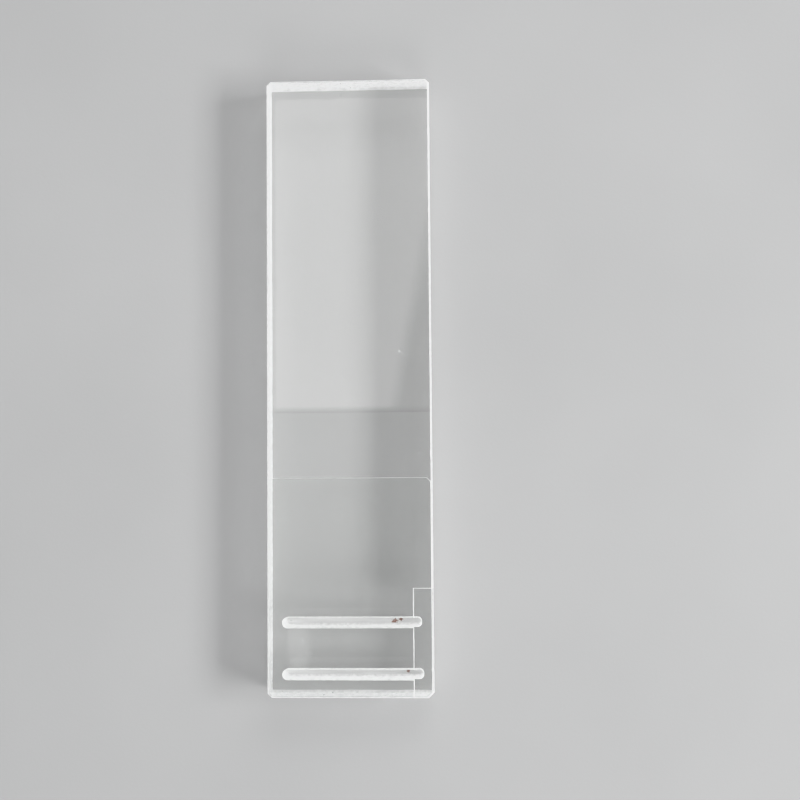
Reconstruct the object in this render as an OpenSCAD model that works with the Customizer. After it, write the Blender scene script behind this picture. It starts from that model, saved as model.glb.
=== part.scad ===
// Hemocytometer: a clear glass counting slide and its loose cover glass.
// X runs across the slide, Y along it and Z up. The origin is under the middle of the slide, on the
// surface that it lies on. The moats lie near the -Y end, and the sample step is at the +X, -Y corner.

/* [Slide] */
// Length of the slide, along Y
slide_l = 75; // [60:0.5:90]
// Width of the slide, along X
slide_w = 20; // [18:0.5:30]
// Thickness of the slide
slide_t = 4; // [3:0.1:6]
// Leg of the ground flat along each top and bottom edge of the long sides
side_flat = 0.2; // [0.1:0.05:0.6]
// Leg of the ground flat along each top and bottom edge of the ends
end_flat = 0.3; // [0.1:0.05:0.6]
// Leg of the ground flat at each upright corner, of the slide and of the cover glass
corner_flat = 0.5; // [0.2:0.05:1]

/* [Moats] */
// Width of each moat
moat_w = 1.1; // [0.8:0.05:2]
// Depth of each moat
moat_d = 1.6; // [0.8:0.1:2.4]
// Distance between the middles of the two moats
moat_pitch = 6.15; // [4:0.05:9]
// Glass left between the outer moat and the end of the slide
end_land = 2.3; // [1.5:0.1:4]
// Glass left between the moats' -X ends and the side of the slide
blind_land = 1.95; // [1:0.05:4]
// Glass left between the inner moat's +X end and the side of the slide
inner_land = 1.4; // [0.8:0.05:3]
// Glass left between the outer moat's +X end and the side of the slide
outer_land = 1.2; // [0.8:0.05:3]
// Radius between a moat's walls and its floor
moat_fillet = 0.3; // [0.1:0.05:0.4]
// Leg of the ground flat around a moat's mouth
moat_flat = 0.12; // [0.05:0.01:0.25]

/* [Sample step] */
// Width of the step, from the +X side
step_w = 2.35; // [1.5:0.05:4]
// Length of the step, from the -Y end
step_l = 13; // [10:0.5:20]
// Depth of the step, which is the thickness of the sample
step_d = 0.2; // [0.1:0.02:0.28]

/* [Cover glass] */
// Length of the cover glass, along Y
cover_l = 26; // [18:0.5:40]
// Thickness of the cover glass
cover_t = 0.4; // [0.2:0.05:0.8]
// Leg of the fine flat along the cover glass's long and short edges
cover_flat = 0.05; // [0.02:0.01:0.08]

/* [Hidden] */
$fn = 48;
// How far a cutter stands clear of the glass that it cuts
clear = 1;
side_x = slide_w / 2;
end_y = slide_l / 2;
moat_r = moat_w / 2;
moat_left = -side_x + blind_land + moat_r;
outer_moat_y = -end_y + end_land + moat_r;
inner_moat_y = outer_moat_y + moat_pitch;

// Outline of a rectangle, centred on the origin, with its corners cut off
module cut_corner_outline(w, l, cut) {
    x = w / 2;
    y = l / 2;
    polygon([
        [-x + cut, -y], [x - cut, -y], [x, -y + cut], [x, y - cut],
        [x - cut, y], [-x + cut, y], [-x, y - cut], [-x, -y + cut]
    ]);
}

// Outline of a plate's cross-section, standing on its base, with its four corners cut off
module plate_section(w, t, cut) {
    translate([0, t / 2]) cut_corner_outline(w, t, cut);
}

// Plate with flats along its sides, along its ends and at its corners, standing on z = 0
module flatted_plate(w, l, t, along_sides, along_ends, at_corners) {
    intersection() {
        linear_extrude(t) cut_corner_outline(w, l, at_corners);
        translate([0, l / 2, 0]) rotate([90, 0, 0]) linear_extrude(l) plate_section(w, t, along_sides);
        translate([-w / 2, 0, 0]) rotate([90, 0, 90]) linear_extrude(w) plate_section(l, t, along_ends);
    }
}

// Half of a moat's cross-section: x is the distance from its middle line, y the height above its floor
module moat_half_section() {
    mouth_r = moat_r + moat_flat;
    difference() {
        polygon([
            [0, 0], [moat_r, 0], [moat_r, moat_d - moat_flat], [mouth_r, moat_d],
            [mouth_r, moat_d + clear], [0, moat_d + clear]
        ]);
        difference() {
            translate([moat_r - moat_fillet, 0]) square(moat_fillet);
            translate([moat_r - moat_fillet, moat_fillet]) circle(moat_fillet);
        }
    }
}

// Cutter for one moat: a straight stretch with a round end on each side
module moat_cutter(y, right_land) {
    right = side_x - right_land - moat_r;
    translate([0, y, slide_t - moat_d]) {
        for (x = [moat_left, right]) translate([x, 0, 0]) rotate_extrude() moat_half_section();
        translate([moat_left, 0, 0]) rotate([90, 0, 90]) linear_extrude(right - moat_left) {
            moat_half_section();
            mirror([1, 0]) moat_half_section();
        }
    }
}

// Cutter for the step, open to the +X side and the -Y end
module step_cutter() {
    translate([side_x - step_w, -end_y - clear, slide_t - step_d])
        cube([step_w + clear, step_l + clear, step_d + clear]);
}

module slide() {
    color([0.86, 0.93, 0.92, 0.5]) difference() {
        flatted_plate(slide_w, slide_l, slide_t, side_flat, end_flat, corner_flat);
        moat_cutter(outer_moat_y, outer_land);
        moat_cutter(inner_moat_y, inner_land);
        step_cutter();
    }
}

// The cover glass is as wide as the slide's polished top face, and lies level with that face's -Y end
module cover_glass() {
    color([0.9, 0.96, 0.97, 0.4])
        translate([0, -end_y + end_flat + cover_l / 2, slide_t])
            flatted_plate(slide_w - 2 * side_flat, cover_l, cover_t, cover_flat, cover_flat, corner_flat);
}

slide();
cover_glass();
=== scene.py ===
"""A clear glass hemocytometer: a counting slide with ground moats and a sample step, and its cover glass."""

import math

import bmesh
import bpy
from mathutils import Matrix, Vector, noise


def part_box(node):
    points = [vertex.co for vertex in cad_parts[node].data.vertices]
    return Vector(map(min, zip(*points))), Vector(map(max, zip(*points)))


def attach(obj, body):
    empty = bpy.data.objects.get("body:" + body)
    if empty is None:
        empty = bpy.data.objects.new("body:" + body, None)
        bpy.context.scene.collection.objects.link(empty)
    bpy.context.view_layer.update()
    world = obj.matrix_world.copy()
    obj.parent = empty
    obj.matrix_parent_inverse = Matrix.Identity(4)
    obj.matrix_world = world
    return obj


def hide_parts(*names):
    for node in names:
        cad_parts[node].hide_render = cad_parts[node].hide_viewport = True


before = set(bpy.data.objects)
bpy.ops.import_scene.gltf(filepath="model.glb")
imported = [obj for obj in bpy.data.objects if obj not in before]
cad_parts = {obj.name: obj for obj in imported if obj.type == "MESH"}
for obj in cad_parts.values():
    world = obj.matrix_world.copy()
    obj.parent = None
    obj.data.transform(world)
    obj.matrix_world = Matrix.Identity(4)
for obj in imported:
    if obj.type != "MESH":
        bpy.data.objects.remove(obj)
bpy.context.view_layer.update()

MM = 0.001
POLISHED, GROUND, MOAT_FLOOR = 0, 1, 2

# The slide and the cover glass are built inside the boxes of their CAD nodes.
SLIDE_LOW, SLIDE_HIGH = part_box("slide")
COVER_LOW, COVER_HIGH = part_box("cover_glass")

# Ground flats on the slide's edges, and the cuts on its four corners, from the -X, -Y one round to the
# -X, +Y one. Ground by hand, the cuts narrow to this share of their width at the slide's foot.
SIDE_FLAT = 0.2 * MM
END_FLAT = 0.3 * MM
CORNER_CUTS = [0.48 * MM, 0.66 * MM, 0.45 * MM, 0.45 * MM]
FOOT_CUT_SHARE = 0.35

# Moats: their section, where their round ends lie, and the land round them
MOAT_WIDTH = 1.1 * MM
MOAT_DEPTH = 1.6 * MM
MOAT_PITCH = 6.15 * MM
MOAT_FILLET = 0.3 * MM
MOAT_FLAT = 0.12 * MM
MOUTH_WANDER = 0.025 * MM
END_LAND = 2.3 * MM
BLIND_LAND = 1.95 * MM
INNER_LAND = 1.4 * MM
OUTER_LAND = 1.2 * MM

# Sample step, open to the +X side and the -Y end, and the chipped slope that bounds it
STEP_WIDTH = 2.35 * MM
STEP_LENGTH = 13 * MM
STEP_DEPTH = 0.2 * MM
STEP_SLOPE = 0.1 * MM
STEP_RAGGED = 0.04 * MM

# Cover glass: fine flats on its cut edges, corners cut like the slide's, and the film of air under it
COVER_FLAT = 0.05 * MM
COVER_CUTS = [0.5 * MM, 0.6 * MM, 0.5 * MM, 0.5 * MM]
AIR_FILM = 0.012 * MM

# How far a cutter stands clear of the glass that it cuts
CLEAR = 1 * MM

# How far apart the points along the edges of the slide and of the cover glass are, and how much their
# flats wander, as a share of the flats' width
SLIDE_GRID = 0.4 * MM
SLIDE_WANDER = 0.12
COVER_GRID = 0.5 * MM
COVER_WANDER = 0.3


# ---- Meshes ----------------------------------------------------------------------------------------------

def unevenness(point, seed):
    """From about -1 to 1: how a hand-ground edge wanders at this point, in long waves and short ones."""
    place = Vector((point[0], point[1], 0)) / MM
    shift = Vector((seed * 7.3, seed * 3.1, seed * 1.7))
    waves = [(14.0, 0.45), (2.2, 0.3), (0.55, 0.35)]
    return sum(share * noise.noise(place / length + shift) for length, share in waves) * 2


def cut_corner_outline(low, high, cuts, inset_x, inset_y):
    """Corners of a rectangle with cut corners, anticlockwise from the -Y side. Its sides are moved in by
    inset_x, its ends by inset_y, and its corner cuts by the mean of the two."""
    left, right, front, back = low.x + inset_x, high.x - inset_x, low.y + inset_y, high.y - inset_y
    shift = (inset_x + inset_y) * (math.sqrt(2) / 2 - 1)
    a, b, c, d = [cut + shift for cut in cuts]
    return [
        (left + a, front), (right - b, front), (right, front + b), (right, back - c),
        (right - c, back), (left + d, back), (left, back - d), (left, front + a),
    ]


def divided(corners, spacing):
    """Points along a closed outline, with the same count on each side whatever the inset."""
    points = []
    for i, start in enumerate(corners):
        end = corners[(i + 1) % len(corners)]
        steps = spacing[i]
        points += [
            (start[0] + (end[0] - start[0]) * k / steps, start[1] + (end[1] - start[1]) * k / steps)
            for k in range(steps)
        ]
    return points


def closed_rings(bm, rings, bottom, sides, top):
    """Joins rings of points, the lowest first, into a closed shell. sides has one material for each strip
    between two rings."""
    loops = [[bm.verts.new(p) for p in ring] for ring in rings]
    count = len(loops[0])
    for lower, upper, side in zip(loops, loops[1:], sides):
        for i in range(count):
            j = (i + 1) % count
            bm.faces.new((lower[i], lower[j], upper[j], upper[i])).material_index = side
    bm.faces.new(list(reversed(loops[0]))).material_index = bottom
    bm.faces.new(loops[-1]).material_index = top


def mesh_object(name, materials, build):
    """A new object whose mesh build(bm) fills. Its faces' material numbers count through materials."""
    bm = bmesh.new()
    build(bm)
    mesh = bpy.data.meshes.new(name)
    for material in materials:
        mesh.materials.append(material)
    bm.to_mesh(mesh)
    bm.free()
    made = bpy.data.objects.new(name, mesh)
    bpy.context.scene.collection.objects.link(made)
    return made


def chipped(point, chips):
    """How far the chips near this point eat into the polished face, as a share of the flat's width."""
    bite = 0
    for x, y, radius, depth in chips:
        away = math.hypot(point[0] - x, point[1] - y) / radius
        if away < 1:
            bite = max(bite, depth * math.sqrt(1 - away * away))
    return bite


def ground_plate(bm, low, high, cuts, foot_cuts, side_flat, end_flat, grid, wander, chips=()):
    """A plate with cut corners, whose top and bottom edges carry flats ground a little unevenly."""
    flat = (side_flat + end_flat) / 2
    corners = cut_corner_outline(low, high, cuts, 0, 0)
    spacing = [
        max(2, round(math.dist(p, corners[(i + 1) % len(corners)]) / grid)) for i, p in enumerate(corners)
    ]

    def outline(cuts, inset_x=0, inset_y=0):
        return divided(cut_corner_outline(low, high, cuts, inset_x, inset_y), spacing)

    def face_edge(cuts, z, seed, chips):
        ring = []
        for p, q in zip(outline(cuts), outline(cuts, side_flat, end_flat)):
            share = 1 + wander * unevenness(p, seed) + chipped(p, chips)
            ring.append((p[0] + (q[0] - p[0]) * share, p[1] + (q[1] - p[1]) * share, z))
        return ring

    rings = [
        face_edge(foot_cuts, low.z, 1, ()),
        [(*p, low.z + flat) for p in outline(foot_cuts)],
        [(*p, high.z - flat) for p in outline(cuts)],
        face_edge(cuts, high.z, 2, chips),
    ]
    closed_rings(bm, rings, POLISHED, [GROUND] * 3, POLISHED)


def stadium(left, right, y, radius, z, wander=0, seed=0):
    """A ring of points round a straight slot with round ends."""
    turns = 28
    straight = 56
    ring = []
    for k in range(turns + 1):
        angle = -math.pi / 2 + math.pi * k / turns
        ring.append((right + radius * math.cos(angle), y + radius * math.sin(angle)))
    ring += [(right + (left - right) * k / straight, y + radius) for k in range(1, straight)]
    for k in range(turns + 1):
        angle = math.pi / 2 + math.pi * k / turns
        ring.append((left + radius * math.cos(angle), y + radius * math.sin(angle)))
    ring += [(left + (right - left) * k / straight, y - radius) for k in range(1, straight)]
    middle = Vector(((left + right) / 2, y))
    wandering = []
    for p in ring:
        nearest = Vector((min(max(p[0], left), right), y)) if radius else middle
        out = (Vector(p) - nearest).normalized() * wander * unevenness(p, seed)
        wandering.append((p[0] + out.x, p[1] + out.y, z))
    return wandering


def moat_cutter(bm, y, right_land, seed):
    """The space of one moat, and the air over it."""
    radius = MOAT_WIDTH / 2
    left = SLIDE_LOW.x + BLIND_LAND + radius
    right = SLIDE_HIGH.x - right_land - radius
    floor, top = SLIDE_HIGH.z - MOAT_DEPTH, SLIDE_HIGH.z
    rings = []
    fillet_steps = 6
    for k in range(fillet_steps + 1):
        angle = math.pi / 2 * k / fillet_steps
        across = radius - MOAT_FILLET * (1 - math.sin(angle))
        rings.append(stadium(left, right, y, across, floor + MOAT_FILLET * (1 - math.cos(angle))))
    mouth = radius + MOAT_FLAT
    rings.append(stadium(left, right, y, radius, top - MOAT_FLAT))
    rings.append(stadium(left, right, y, mouth, top, MOUTH_WANDER, seed))
    rings.append(stadium(left, right, y, mouth, top + CLEAR, MOUTH_WANDER, seed))
    closed_rings(bm, rings, MOAT_FLOOR, [MOAT_FLOOR] + [GROUND] * (fillet_steps + 2), GROUND)


def step_cutter(bm):
    """The space of the sample step, with a finely chipped slope along its two closed sides."""
    x_line = SLIDE_HIGH.x - STEP_WIDTH
    y_line = SLIDE_LOW.y + STEP_LENGTH
    far_x, far_y = SLIDE_HIGH.x + CLEAR, SLIDE_LOW.y - CLEAR
    grain = 0.09 * MM
    along_y = round((y_line - far_y) / grain)
    along_x = round((far_x - x_line) / grain)

    def outline(widened, seed, z):
        ring = [(far_x, far_y, z)]
        ring += [(far_x, y_line + widened, z)]
        for k in range(1, along_x):
            x = far_x + (x_line - far_x) * k / along_x
            ring.append((x, y_line + widened + STEP_RAGGED * unevenness((x, y_line), seed) / 2, z))
        ring.append((x_line - widened, y_line + widened, z))
        for k in range(1, along_y):
            y = y_line + (far_y - y_line) * k / along_y
            ring.append((x_line - widened - STEP_RAGGED * unevenness((x_line, y), seed), y, z))
        ring.append((x_line - widened, far_y, z))
        return ring

    floor, top = SLIDE_HIGH.z - STEP_DEPTH, SLIDE_HIGH.z
    rings = [outline(0, 3, floor), outline(STEP_SLOPE, 4, top), outline(STEP_SLOPE, 4, top + CLEAR)]
    closed_rings(bm, rings, POLISHED, [GROUND] * 2, POLISHED)


def chip_cutter(bm, x, y, z, radius):
    """A small shell-shaped flake, taken out of an edge."""
    bmesh.ops.create_icosphere(bm, subdivisions=2, radius=radius)
    for v in bm.verts:
        v.co *= 1 + 0.25 * noise.noise(v.co / radius * 1.3 + Vector((x, y, z)) / MM)
        v.co = Vector((x + v.co.x, y + v.co.y * 1.5, z + v.co.z * 0.6))
    for face in bm.faces:
        face.material_index = GROUND


def cut(target, cutter):
    """Takes the cutter's space out of the target, and deletes the cutter."""
    modifier = target.modifiers.new("cut", "BOOLEAN")
    modifier.operation = "DIFFERENCE"
    modifier.solver = "EXACT"
    modifier.object = cutter
    graph = bpy.context.evaluated_depsgraph_get()
    carved = bpy.data.meshes.new_from_object(target.evaluated_get(graph))
    target.modifiers.clear()
    old = target.data
    target.data = carved
    bpy.data.meshes.remove(old)
    bpy.data.objects.remove(cutter)


def finish_edges(made, sharp_over=30):
    """Merges stray points, then smooths everything except the real edges."""
    bm = bmesh.new()
    bm.from_mesh(made.data)
    bmesh.ops.remove_doubles(bm, verts=bm.verts, dist=0.0005 * MM)
    bmesh.ops.dissolve_degenerate(bm, edges=bm.edges, dist=0.0005 * MM)
    for edge in bm.edges:
        edge.smooth = len(edge.link_faces) == 2 and edge.calc_face_angle(0) < math.radians(sharp_over)
    for face in bm.faces:
        face.smooth = True
    bm.to_mesh(made.data)
    bm.free()


# Small chips on the slide's top edge: where they are, their radii, and how deep, as a share of the flat
EDGE_CHIPS = [
    (SLIDE_HIGH.x, 21.4 * MM, 0.4 * MM, 0.3),
    (SLIDE_HIGH.x, -8.3 * MM, 0.4 * MM, 0.25),
    (SLIDE_LOW.x, 12.7 * MM, 0.4 * MM, 0.35),
    (SLIDE_LOW.x, -21.6 * MM, 0.5 * MM, 0.4),
    (-3.1 * MM, SLIDE_HIGH.y, 0.6 * MM, 0.4),
    (4.4 * MM, SLIDE_LOW.y, 0.5 * MM, 0.5),
]
# Deeper chips where the sample step meets the +X side: how far along it they are, and their radii
STEP_CHIPS = [(-30.2 * MM, 0.16 * MM), (-34.1 * MM, 0.18 * MM), (-26.2 * MM, 0.1 * MM)]


def make_slide(materials):
    foot_cuts = [cut * FOOT_CUT_SHARE for cut in CORNER_CUTS]
    made = mesh_object("counting_slide", materials, lambda bm: ground_plate(
        bm, SLIDE_LOW, SLIDE_HIGH, CORNER_CUTS, foot_cuts, SIDE_FLAT, END_FLAT,
        SLIDE_GRID, SLIDE_WANDER, EDGE_CHIPS))
    outer_y = SLIDE_LOW.y + END_LAND + MOAT_WIDTH / 2
    inner_y = outer_y + MOAT_PITCH
    cut(made, mesh_object("outer_moat", materials, lambda bm: moat_cutter(bm, outer_y, OUTER_LAND, 5)))
    cut(made, mesh_object("inner_moat", materials, lambda bm: moat_cutter(bm, inner_y, INNER_LAND, 6)))
    cut(made, mesh_object("sample_step", materials, step_cutter))
    chip_x, chip_z = SLIDE_HIGH.x - 0.1 * MM, SLIDE_HIGH.z - STEP_DEPTH
    for y, radius in STEP_CHIPS:
        cut(made, mesh_object("chip", materials, lambda bm: chip_cutter(bm, chip_x, y, chip_z, radius)))
    finish_edges(made)
    return made


def make_cover(materials):
    low = Vector((COVER_LOW.x, COVER_LOW.y, COVER_LOW.z + AIR_FILM))
    made = mesh_object("cover_glass_plate", materials, lambda bm: ground_plate(
        bm, low, COVER_HIGH, COVER_CUTS, COVER_CUTS, COVER_FLAT, COVER_FLAT, COVER_GRID, COVER_WANDER))
    finish_edges(made)
    return made


# ---- Materials -------------------------------------------------------------------------------------------

GLASS_IOR = 1.46
CLEAR_TINT = (0.995, 1, 0.995, 1)

# The cut edges of the cover glass: their colour, how clear they are, and how rough at least and at most
CUT_EDGE_TINT = (0.98, 1, 0.99, 1)
CUT_EDGE_CLEAR = 0.68
CUT_EDGE_ROUGH = (0.3, 0.55)

# How much of a lamp's light each kind of glass lets through
CLEAR_SHADOW = 1.0
GROUND_SHADOW = 0.3
MOAT_FLOOR_SHADOW = 0.5
CUT_EDGE_SHADOW = 0.9

# Ground glass: its darkest and whitest grain, and the share of light that it lets through instead of
# sending it back
GROUND_WHITE = (0.78, 0.98)
GROUND_THROUGH = 0.62

# Floors of the moats: their darkest and whitest streaks, and how clear they are where they are clean
MOAT_WHITE = (0.6, 0.76)
MOAT_CLEAR = 0.38

# The card that the slide lies on: its darkest and palest shade
FLOOR_SHADE = (0.34, 0.36)


class Nodes:
    """A short way to write a material's node tree."""

    def __init__(self, name):
        self.material = bpy.data.materials.new(name)
        self.material.use_nodes = True
        self.tree = self.material.node_tree
        self.tree.nodes.clear()
        self.place = self.add("TexCoord").outputs["Object"]

    def add(self, kind, inputs=None, **settings):
        made = self.tree.nodes.new("ShaderNode" + kind)
        for key, value in settings.items():
            setattr(made, key, value)
        for key, value in (inputs or {}).items():
            self.set(made.inputs[key], value)
        return made

    def set(self, socket, value):
        if isinstance(value, bpy.types.NodeSocket):
            self.tree.links.new(value, socket)
        else:
            socket.default_value = value

    def maths(self, operation, *values):
        made = self.add("Math", operation=operation)
        for socket, value in zip(made.inputs, values):
            self.set(socket, value)
        return made.outputs[0]

    def ranged(self, value, from_low, from_high, to_low, to_high):
        made = self.add("MapRange", {
            "Value": value, "From Min": from_low, "From Max": from_high, "To Min": to_low, "To Max": to_high})
        return made.outputs["Result"]

    def grain(self, size, detail=3.0, stretch=(1, 1, 1)):
        """Noise whose lumps are about this size in metres, stretched along an axis."""
        moved = self.add("Mapping", {"Vector": self.place, "Scale": tuple(1 / s for s in stretch)})
        made = self.add("TexNoise", {"Vector": moved.outputs[0], "Scale": 1 / size, "Detail": detail})
        return made.outputs[0]

    def spot(self, place, radius, ragged):
        """1 inside a ragged spot round this place, and 0 outside it."""
        away = self.add("VectorMath", {0: self.place, 1: place}, operation="DISTANCE").outputs["Value"]
        edge = self.ranged(self.grain(ragged, 4), 0.35, 0.65, 0.4 * radius, radius)
        return self.ranged(self.maths("SUBTRACT", edge, away), 0, 0.3 * radius, 0.0, 1.0)

    def bump(self, height, depth, strength=1.0):
        return self.add("Bump", {"Height": height, "Distance": depth, "Strength": strength}).outputs[0]

    def glass(self, surface, shadow):
        """Ends the tree: lamps shine through, dimmed by shadow, and every other ray meets surface."""
        clear = self.add("BsdfTransparent", {"Color": (shadow, shadow, shadow, 1)})
        mixed = self.add("MixShader", {0: self.add("LightPath").outputs["Is Shadow Ray"]})
        self.tree.links.new(surface.outputs[0], mixed.inputs[1])
        self.tree.links.new(clear.outputs[0], mixed.inputs[2])
        self.tree.links.new(mixed.outputs[0], self.add("OutputMaterial").inputs["Surface"])
        return self.material


# Dried dirt in the moats: where each spot lies, and its radius
MOAT_FLOOR_Z = SLIDE_HIGH.z - MOAT_DEPTH
DIRT_SPOTS = [
    ((5.3 * MM, -28.7 * MM, MOAT_FLOOR_Z), 0.6 * MM),
    ((6.0 * MM, -28.4 * MM, MOAT_FLOOR_Z), 0.4 * MM),
    ((6.9 * MM, -34.6 * MM, MOAT_FLOOR_Z), 0.32 * MM),
]
DIRT_COLOUR = (0.18, 0.09, 0.065, 1)
DIRT_RAGGED = 0.16 * MM
DIRT_HIDES = 0.3

# A faint whitish, streaked patch on the top face: its middle, how far it reaches each way, and how much it
# hides
WHITE_PATCH_PLACE = (-6.2 * MM, -31.5 * MM, SLIDE_HIGH.z)
WHITE_PATCH_HALF = (1.8 * MM, 4.0 * MM, 1.0 * MM)
WHITE_PATCH_SHARE = 0.025


def polished_glass():
    """Clear optical glass with a little dust, and a faint whitish, streaked patch between the moats."""
    n = Nodes("polished_glass")
    dust = n.ranged(n.grain(0.35 * MM, 1), 0.76, 0.8, 0.0, 0.3)
    away = n.add("VectorMath", {0: n.place, 1: WHITE_PATCH_PLACE}, operation="SUBTRACT").outputs["Vector"]
    scaled = n.add("VectorMath", {0: away, 1: tuple(1 / half for half in WHITE_PATCH_HALF)}, operation="MULTIPLY")
    reach = n.add("VectorMath", {0: scaled.outputs["Vector"]}, operation="LENGTH").outputs["Value"]
    streaks = n.ranged(n.grain(0.5 * MM, 3, (1, 6, 1)), 0.3, 0.7, 0.6, 1.0)
    white_patch = n.maths("MULTIPLY", n.ranged(reach, 0.55, 1.0, WHITE_PATCH_SHARE, 0.0), streaks)
    clear = n.maths("SUBTRACT", 1.0, n.maths("MAXIMUM", dust, white_patch))
    surface = n.add("BsdfPrincipled", {
        "Base Color": CLEAR_TINT, "Transmission Weight": clear, "Roughness": 0, "IOR": GLASS_IOR})
    return n.glass(surface, CLEAR_SHADOW)


def ground_glass():
    """White ground glass, lit through from behind: fine grain, scored a little along the way it was cut."""
    n = Nodes("ground_glass")
    white = n.ranged(n.grain(0.5 * MM, 4), 0.3, 0.7, *GROUND_WHITE)
    tint = n.add("CombineColor", {0: white, 1: white, 2: white}).outputs[0]
    rough = n.ranged(n.grain(0.25 * MM), 0.3, 0.7, 0.6, 0.8)
    scoring = n.grain(0.07 * MM, 2, (9, 1, 1))
    relief = n.maths("ADD", n.grain(0.05 * MM, 2), n.maths("MULTIPLY", scoring, 0.6))
    normal = n.bump(relief, 0.012 * MM, 0.8)
    front = n.add("BsdfPrincipled", {
        "Base Color": tint, "Roughness": rough, "IOR": GLASS_IOR, "Specular IOR Level": 0, "Normal": normal})
    through = n.add("BsdfTranslucent", {"Color": tint, "Normal": normal})
    surface = n.add("MixShader", {0: GROUND_THROUGH, 1: front.outputs[0], 2: through.outputs[0]})
    return n.glass(surface, GROUND_SHADOW)


def moat_floor_glass():
    """The floors of the moats: finely ground, so that they let through more than the walls do, with a trace
    of dried brown dirt at three spots."""
    n = Nodes("moat_floor_glass")
    streaks = n.ranged(n.grain(0.5 * MM, 4, (8, 1, 1)), 0.3, 0.7, *MOAT_WHITE)
    frost = n.add("CombineColor", {0: streaks, 1: streaks, 2: streaks}).outputs[0]
    spots = [n.spot(place, radius, DIRT_RAGGED) for place, radius in DIRT_SPOTS]
    dirt = n.maths("MAXIMUM", n.maths("MAXIMUM", spots[0], spots[1]), spots[2])
    tint = n.add("MixRGB", {0: dirt, 1: frost, 2: DIRT_COLOUR}).outputs[0]
    rough = n.ranged(n.grain(0.25 * MM), 0.3, 0.7, 0.4, 0.5)
    clear = n.maths("SUBTRACT", MOAT_CLEAR, n.maths("MULTIPLY", dirt, DIRT_HIDES))
    surface = n.add("BsdfPrincipled", {
        "Base Color": tint, "Transmission Weight": clear, "Roughness": rough, "IOR": GLASS_IOR,
        "Normal": n.bump(n.grain(0.06 * MM, 2, (6, 1, 1)), 0.01 * MM, 0.5)})
    return n.glass(surface, MOAT_FLOOR_SHADOW)


def cut_edge_glass():
    """The scored and snapped edge of thin glass: a little cloudy and rippled."""
    n = Nodes("cut_edge_glass")
    ripples = n.grain(0.3 * MM, 2, (1, 1, 6))
    rough = n.ranged(n.grain(0.6 * MM), 0.35, 0.7, *CUT_EDGE_ROUGH)
    surface = n.add("BsdfPrincipled", {
        "Base Color": CUT_EDGE_TINT, "Transmission Weight": CUT_EDGE_CLEAR, "Roughness": rough,
        "IOR": GLASS_IOR, "Normal": n.bump(ripples, 0.01 * MM, 0.5)})
    return n.glass(surface, CUT_EDGE_SHADOW)


def matt_card():
    """The pale, matt card that the slide lies on."""
    n = Nodes("matt_card")
    shade = n.ranged(n.grain(40 * MM, 3), 0.3, 0.7, *FLOOR_SHADE)
    tint = n.add("CombineColor", {0: shade, 1: shade, 2: shade}).outputs[0]
    surface = n.add("BsdfPrincipled", {
        "Base Color": tint, "Roughness": 0.9, "Normal": n.bump(n.grain(0.4 * MM), 0.02 * MM, 0.4)})
    surface.inputs["Specular IOR Level"].default_value = 0.1
    n.tree.links.new(surface.outputs[0], n.add("OutputMaterial").inputs["Surface"])
    return n.material


# The card that the slide mirrors, in metres: its height and its four sides, then where the slanting edge of
# its brighter part starts and how far that leans, how wide both edges fade, and how bright its two parts are
CARD_HEIGHT = 0.5
CARD_LEFT = -0.13
CARD_RIGHT = 0.07
CARD_NEAR = 0.009
CARD_FAR = 0.27
CARD_SLANT_FROM = -0.014
CARD_SLANT = 0.193
CARD_NEAR_FADE = 0.005
CARD_SLANT_FADE = 0.011
CARD_RADIANCE = 2.3
CARD_WEAKER = 0.42


def card_glow():
    """Even light that fades at the card's near edge, and is weaker past the slanting edge."""
    n = Nodes("card_glow")
    split = n.add("SeparateXYZ", {"Vector": n.place})
    x, y = split.outputs["X"], split.outputs["Y"]
    past_near = n.ranged(y, CARD_NEAR, CARD_NEAR + CARD_NEAR_FADE, 0.0, 1.0)
    slanting = n.maths("SUBTRACT", x, n.maths("MULTIPLY", n.maths("SUBTRACT", y, CARD_NEAR), CARD_SLANT))
    fade_from = CARD_SLANT_FROM - CARD_SLANT_FADE / 2
    beside = n.ranged(slanting, fade_from, fade_from + CARD_SLANT_FADE, 1.0, CARD_WEAKER)
    glow = n.maths("MULTIPLY", n.maths("MULTIPLY", past_near, beside), CARD_RADIANCE)
    light = n.add("Emission", {"Color": (1, 1, 1, 1), "Strength": glow})
    n.tree.links.new(light.outputs[0], n.add("OutputMaterial").inputs["Surface"])
    return n.material


# ---- Camera, floor and lights ----------------------------------------------------------------------------

# The camera: where it stands, its tilts in degrees and its lens in millimetres
CAMERA_PLACE = (9.33 * MM, -5.93 * MM, 107.4 * MM)
CAMERA_TILT = (2.235, 1.748, -0.516)
LENS = 38.59

# The floor: how far it lies under the slide, and half its width in metres
FLOOR_GAP = 0.02 * MM
FLOOR_HALF = 1.5

# The even light from all round: its colour and its strength
SKY_COLOUR = (0.97, 0.98, 1.0, 1)
SKY_STRENGTH = 0.45


def make_camera():
    """Looks almost straight down, from over the middle of the slide's +X side."""
    data = bpy.data.cameras.new("camera")
    data.lens = LENS
    data.sensor_width = 36
    data.clip_start = 0.005
    data.clip_end = 20
    camera = bpy.data.objects.new("camera", data)
    bpy.context.scene.collection.objects.link(camera)
    camera.location = CAMERA_PLACE
    camera.rotation_mode = "ZYX"
    camera.rotation_euler = [math.radians(a) for a in CAMERA_TILT]
    bpy.context.scene.camera = camera


def make_floor():
    """A plain square sheet, just under the slide."""
    half = FLOOR_HALF
    z = SLIDE_LOW.z - FLOOR_GAP

    def sheet(bm):
        bm.faces.new([
            bm.verts.new((x, y, z)) for x, y in ((-half, -half), (half, -half), (half, half), (-half, half))])

    mesh_object("floor", [matt_card()], sheet)


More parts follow.
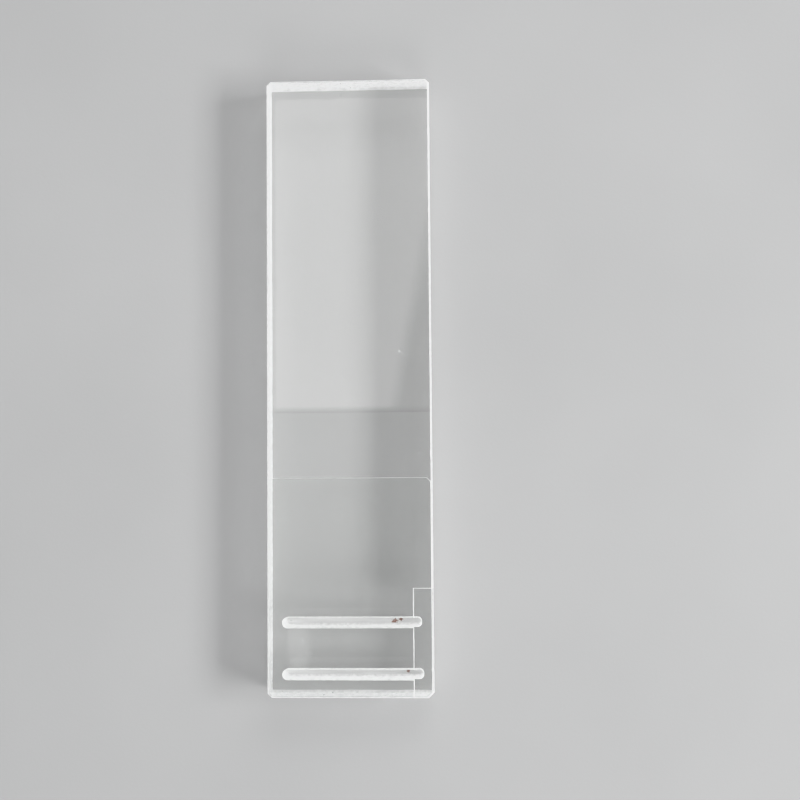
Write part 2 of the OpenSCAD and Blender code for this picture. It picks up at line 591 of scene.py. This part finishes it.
def softbox(name, place, aim, size, radiance, mirrored=False):
    """A rectangular lamp that faces aim, as bright per area as radiance says. Unless it is mirrored in the
    glass, only its shadow rays pass through the glass, so that its light isn't counted twice."""
    lamp = bpy.data.lights.new(name, "AREA")
    lamp.shape = "RECTANGLE"
    lamp.size, lamp.size_y = size
    lamp.energy = radiance * math.pi * size[0] * size[1]
    made = bpy.data.objects.new(name, lamp)
    bpy.context.scene.collection.objects.link(made)
    made.location = place
    made.rotation_euler = (Vector(aim) - Vector(place)).to_track_quat("-Z", "Y").to_euler()
    made.visible_camera = False
    made.visible_transmission = False
    made.visible_glossy = mirrored


def make_mirrored_card():
    """A glowing card overhead, for the glass only: both faces of the slide's far half mirror it."""
    def sheet(bm):
        bm.faces.new([bm.verts.new((x, y, CARD_HEIGHT)) for x, y in (
            (CARD_LEFT, CARD_NEAR), (CARD_LEFT, CARD_FAR), (CARD_RIGHT, CARD_FAR), (CARD_RIGHT, CARD_NEAR))])

    card = mesh_object("mirrored_card", [card_glow()], sheet)
    card.visible_camera = False
    card.visible_diffuse = False
    card.visible_shadow = False


def make_lights():
    """A low soft strip on the +X side, a wide lamp overhead, weak ones past both ends, and soft light from
    all round."""
    softbox("key", (0.90, -0.12, 0.45), (0, 0, 0), (0.7, 0.20), 36)
    softbox("soft_key", (0.88, -0.117, 0.44), (0, 0, 0), (0.8, 0.26), 2.6, mirrored=True)
    softbox("fill", (0.1, 0, 1.2), (0, 0, 0), (1.6, 1.6), 0.55, mirrored=True)
    for end in (-1, 1):
        softbox("end_fill", (0.2, end * 0.9, 0.5), (0, 0, 0), (0.6, 0.3), 7)
    world = bpy.data.worlds.new("world")
    bpy.context.scene.world = world
    world.use_nodes = True
    background = world.node_tree.nodes["Background"]
    background.inputs["Color"].default_value = SKY_COLOUR
    background.inputs["Strength"].default_value = SKY_STRENGTH


# ---- Build -----------------------------------------------------------------------------------------------

make_camera()
make_floor()
make_lights()
make_mirrored_card()

clear_face = polished_glass()

slide = make_slide([clear_face, ground_glass(), moat_floor_glass()])
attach(slide, "slide")
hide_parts("slide")

cover = make_cover([clear_face, cut_edge_glass()])
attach(cover, "cover")
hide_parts("cover_glass")

bpy.context.scene.view_settings.view_transform = "Khronos PBR Neutral"
